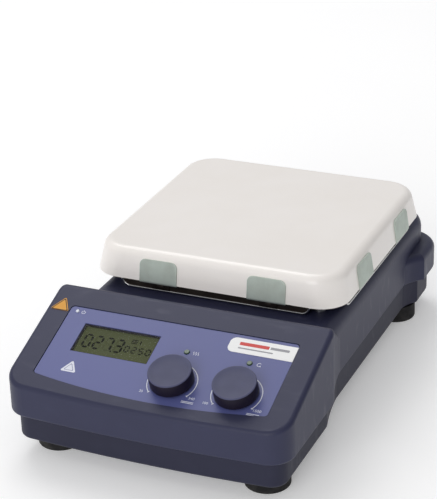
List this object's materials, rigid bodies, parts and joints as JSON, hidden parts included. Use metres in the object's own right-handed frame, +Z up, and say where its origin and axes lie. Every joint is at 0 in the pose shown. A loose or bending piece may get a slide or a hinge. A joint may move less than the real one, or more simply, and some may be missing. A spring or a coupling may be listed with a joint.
{
  "type": "magnetic stirrer",
  "caption": "Bench-top magnetic stirrer with a square white ceramic hot plate on steel clips, a sloping control console with display and two push knobs, and a spinning magnet drive.",
  "frame": {"origin": "on the bench under the centre of the footprint, level with the undersides of the feet", "axes": "+X to the right of the console, +Y from the console to the rear connectors, +Z up through the working surface"},
  "size_m": [0.215, 0.36, 0.112],
  "materials": {
    "housing": "slate-blue textured paint on die-cast shell",
    "housing_lower": "dark slate moulded plastic",
    "rear_metal": "dark satin paint",
    "overlay": "fine-textured polycarbonate film",
    "window": "clear window",
    "badge": "white gloss",
    "label": "amber gloss",
    "rubber": "black rubber",
    "screw_steel": "zinc-plated",
    "brass_insert": "nickel-free turned brass",
    "ceramic": "white glass-ceramic, glossy",
    "heater": "mica foil heater",
    "insulation": "mineral-fibre board",
    "carrier_steel": "polished stainless steel",
    "clip_steel": "satin stainless spring steel",
    "rivet_steel": "bright",
    "standoff_steel": "turned steel",
    "sensor_steel": "bright",
    "thermostat": "phenolic",
    "bracket_steel": "zinc-plated sheet",
    "motor_paint": "black enamel",
    "die_cast": "as cast",
    "lamination": "varnished lamination stack",
    "bearing_steel": "ground bearing steel",
    "shaft_steel": "ground steel",
    "magnet": "nickel-plated",
    "circuit_board": "green solder mask",
    "display_module": "reflective liquid-crystal display",
    "encoder_metal": "bright",
    "switch_plastic": "natural acetal",
    "knob_plastic": "dark slate moulded plastic",
    "lens": "clear moulded lens",
    "component": "moulded components",
    "ribbon": "grey flat cable",
    "black_plastic": "black moulded plastic",
    "fuse_glass": "glass tube with metal caps",
    "rocker_plastic": "black gloss",
    "connector_metal": "nickel-plated"
  },
  "bodies": {
    "housing": {"upper_housing": "housing", "lower_housing": "housing_lower", "rear_panel": "rear_metal", "panel_overlay": "overlay", "display_window": "window", "badge_plate": "badge", "hot_surface_label": "label", "foot_front_left": "rubber", "foot_front_right": "rubber", "foot_rear_left": "rubber", "foot_rear_right": "rubber", "foot_screws": "screw_steel", "housing_screws": "screw_steel", "rod_socket": "brass_insert", "ceramic_plate": "ceramic", "heating_element": "heater", "insulation_pad": "insulation", "plate_carrier": "carrier_steel", "plate_clips": "clip_steel", "clip_rivets": "rivet_steel", "plate_standoffs": "standoff_steel", "standoff_screws": "screw_steel", "plate_sensor": "sensor_steel", "safety_thermostat": "thermostat", "motor_bracket": "bracket_steel", "bracket_screws": "screw_steel", "motor_can": "motor_paint", "motor_end_plate": "die_cast", "motor_stator": "lamination", "bearing_upper": "bearing_steel", "bearing_lower": "bearing_steel", "motor_screws": "screw_steel", "control_board": "circuit_board", "board_screws": "screw_steel", "lcd_module": "display_module", "heat_encoder": "encoder_metal", "stir_encoder": "encoder_metal", "encoder_nuts": "rivet_steel", "indicator_lenses": "lens", "power_board": "circuit_board", "power_board_parts": "component", "transformer": "lamination", "ribbon_cable": "ribbon", "mains_inlet": "black_plastic", "power_switch_frame": "black_plastic", "serial_port": "connector_metal", "probe_socket": "connector_metal"},
    "heat_button": {"heat_plunger": "switch_plastic"},
    "heat_dial": {"heat_knob": "knob_plastic", "heat_knob_shaft": "shaft_steel"},
    "stir_button": {"stir_plunger": "switch_plastic"},
    "stir_dial": {"stir_knob": "knob_plastic", "stir_knob_shaft": "shaft_steel"},
    "stir_drive": {"motor_shaft": "shaft_steel", "motor_rotor": "lamination", "magnet_carrier": "die_cast", "drive_magnets": "magnet"},
    "power_rocker": {"power_switch_rocker": "rocker_plastic"},
    "fuse_tray": {"fuse_drawer": "black_plastic", "fuse": "fuse_glass"}
  },
  "joints": [
    {"name": "heat_knob_press", "type": "slide", "parent": "housing", "child": "heat_button", "axis": [0, 0.3322, -0.9432], "range_m": [0, 0.0008], "stiffness_N_per_m": 500, "springref_m": -0.003},
    {"name": "heat_knob_turn", "type": "hinge", "parent": "heat_button", "child": "heat_dial", "pos_m": [0.0133, -0.14959, 0.06905], "axis": [0, -0.3322, 0.9432], "continuous": true},
    {"name": "stir_knob_press", "type": "slide", "parent": "housing", "child": "stir_button", "axis": [0, 0.3322, -0.9432], "range_m": [0, 0.0008], "stiffness_N_per_m": 500, "springref_m": -0.003},
    {"name": "stir_knob_turn", "type": "hinge", "parent": "stir_button", "child": "stir_dial", "pos_m": [0.0613, -0.14959, 0.06905], "axis": [0, -0.3322, 0.9432], "continuous": true},
    {"name": "stir_drive_spin", "type": "hinge", "parent": "housing", "child": "stir_drive", "pos_m": [0, 0.05, 0.07], "axis": [0, 0, 1], "continuous": true},
    {"name": "power_switch", "type": "hinge", "parent": "housing", "child": "power_rocker", "pos_m": [0.004, 0.17, 0.053], "axis": [-1, 0, 0], "range_deg": [0, 16]},
    {"name": "fuse_drawer_pull", "type": "slide", "parent": "housing", "child": "fuse_tray", "axis": [0, 1, 0], "range_m": [0, 0.018]}
  ]
}
